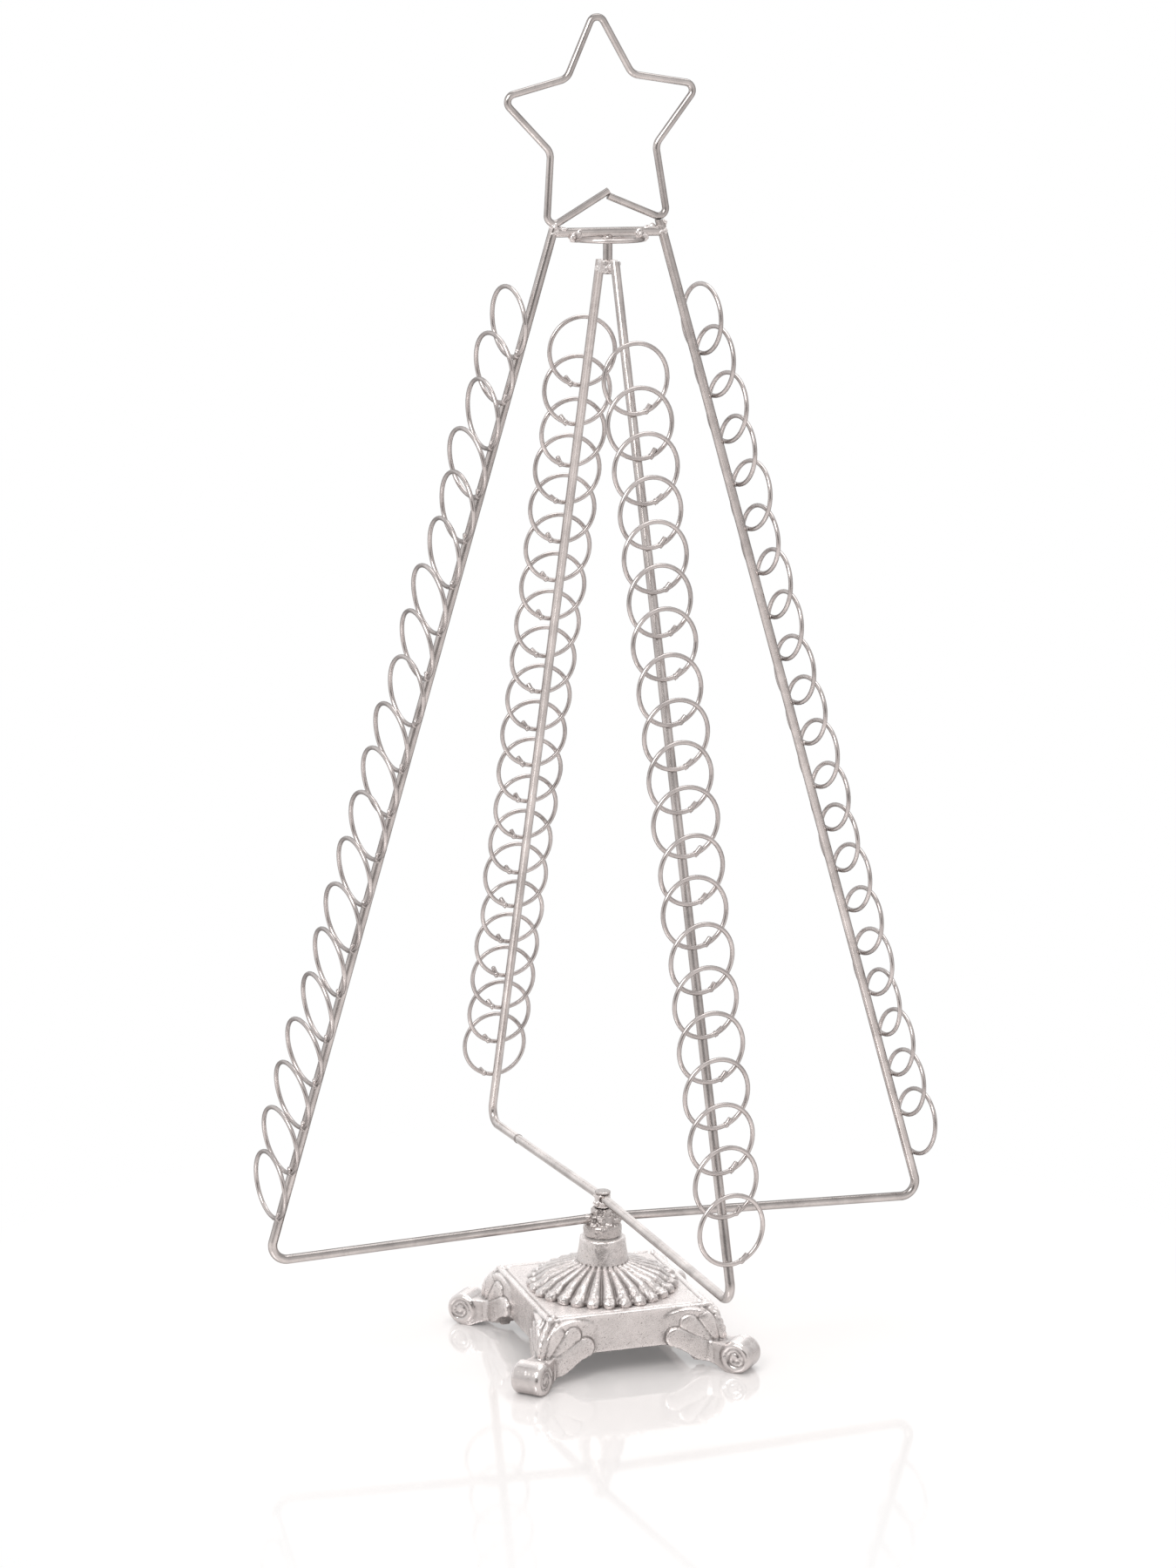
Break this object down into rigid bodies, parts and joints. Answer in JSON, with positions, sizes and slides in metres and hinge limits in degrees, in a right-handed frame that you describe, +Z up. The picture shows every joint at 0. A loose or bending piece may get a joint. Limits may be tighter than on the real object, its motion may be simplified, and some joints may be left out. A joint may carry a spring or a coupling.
{
  "type": "greeting card holder",
  "caption": "Table-top greeting card holder in the outline of a tree: two hinged wire frames set with card rings, a wire star on top and a cast scroll-footed base.",
  "frame": {"origin": "on the floor, on the upright axis of the tree", "axes": "+Z up along the axis of both hinges, X along the outer frame, Y across it; the near inner rail points to -Y"},
  "size_m": [0.3729, 0.3351, 0.7036],
  "materials": {
    "cast_silver": "bright sand-cast surface with fine speckle",
    "hardware": "plain steel",
    "frame_wire": "warm satin plating",
    "ring_wire": "warm satin plating"
  },
  "bodies": {
    "base": {"plinth": "cast_silver", "fluted_dome": "cast_silver", "spindle": "hardware", "spindle_washer": "hardware", "spindle_nut": "hardware"},
    "outer_frame": {"swivel_hub": "frame_wire", "outer_left_wire": "frame_wire", "outer_right_wire": "frame_wire", "top_crossbar": "frame_wire", "star": "frame_wire", "top_ring": "ring_wire", "top_pivot_pin": "frame_wire", "lower_pivot_pin": "frame_wire", "outer_left_rings": "ring_wire", "outer_right_rings": "ring_wire"},
    "inner_frame": {"inner_near_wire": "frame_wire", "inner_far_wire": "frame_wire", "lower_pivot_bush": "frame_wire", "top_pivot_eye": "frame_wire", "inner_near_rings": "ring_wire", "inner_far_rings": "ring_wire"}
  },
  "joints": [
    {"name": "tree_swivel", "type": "hinge", "parent": "base", "child": "outer_frame", "pos_m": [0, 0, 0.066], "axis": [0, 0, 1], "continuous": true},
    {"name": "inner_fold", "type": "hinge", "parent": "outer_frame", "child": "inner_frame", "pos_m": [0, 0, 0.082], "axis": [0, 0, 1], "range_deg": [-75, 75]}
  ]
}
